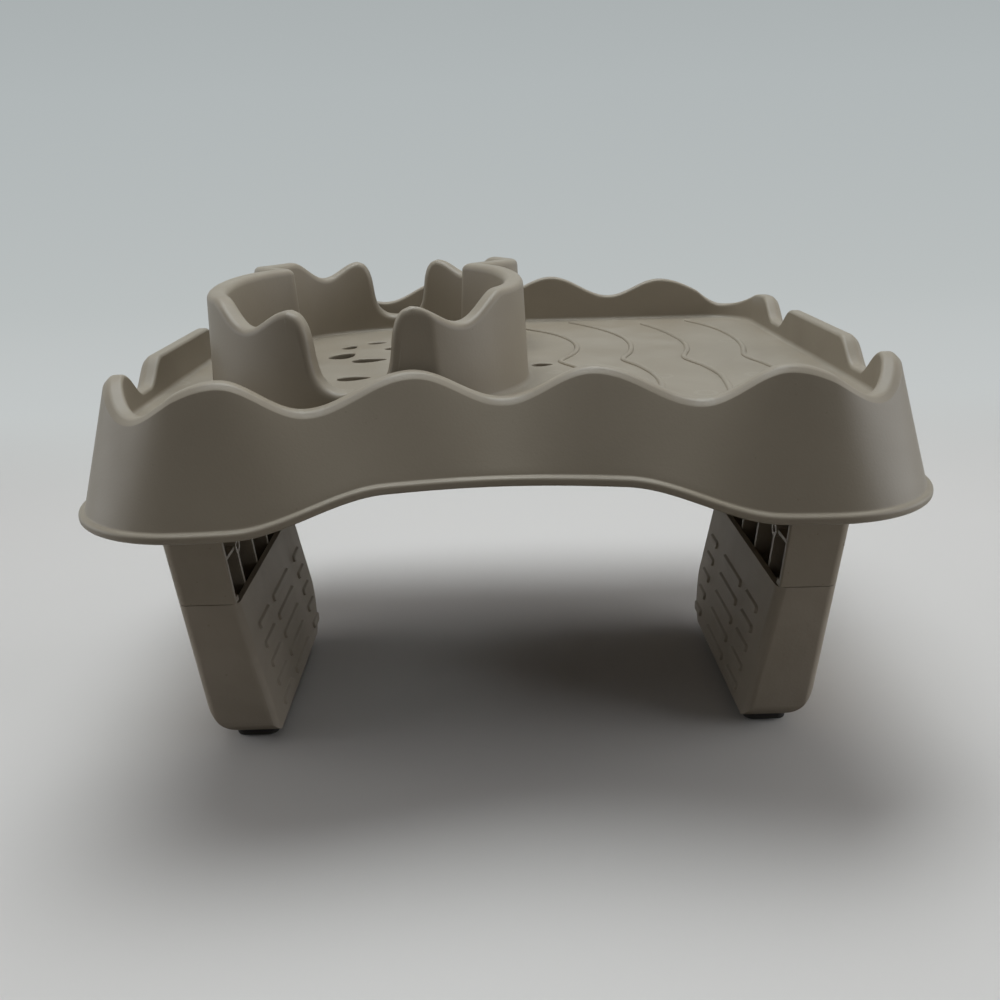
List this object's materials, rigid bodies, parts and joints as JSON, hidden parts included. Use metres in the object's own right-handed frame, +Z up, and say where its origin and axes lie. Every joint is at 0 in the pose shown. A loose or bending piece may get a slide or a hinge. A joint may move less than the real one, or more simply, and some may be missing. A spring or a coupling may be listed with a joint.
{
  "type": "hot tub tray",
  "caption": "Wavy-rimmed tray with a double-ring cup holder and a flat snack deck, standing astride a tub wall on ribbed legs with slip-on grip boots.",
  "frame": {"origin": "on the floor, under the middle of the tray's outline", "axes": "+X to the right end, with the cup holder at -X; +Y to the back; +Z up"},
  "size_m": [0.36, 0.312, 0.228],
  "materials": {
    "tray": "satin",
    "post": "satin",
    "boot": "satin",
    "pad": "matte",
    "screw": "brushed"
  },
  "bodies": {
    "tray_and_posts": {"tray": "tray", "leg_post_left": "post", "leg_post_right": "post", "leg_screw_left_1": "screw", "leg_screw_left_2": "screw", "leg_screw_left_3": "screw", "leg_screw_right_1": "screw", "leg_screw_right_2": "screw", "leg_screw_right_3": "screw"},
    "boot_left": {"grip_boot_left": "boot", "foot_pad_left": "pad"},
    "boot_right": {"grip_boot_right": "boot", "foot_pad_right": "pad"}
  },
  "joints": [
    {"name": "boot_left_slide", "type": "slide", "parent": "tray_and_posts", "child": "boot_left", "axis": [0.1512, 0, -0.9885], "range_m": [0, 0.056]},
    {"name": "boot_right_slide", "type": "slide", "parent": "tray_and_posts", "child": "boot_right", "axis": [-0.1512, 0, -0.9885], "range_m": [0, 0.056]}
  ]
}
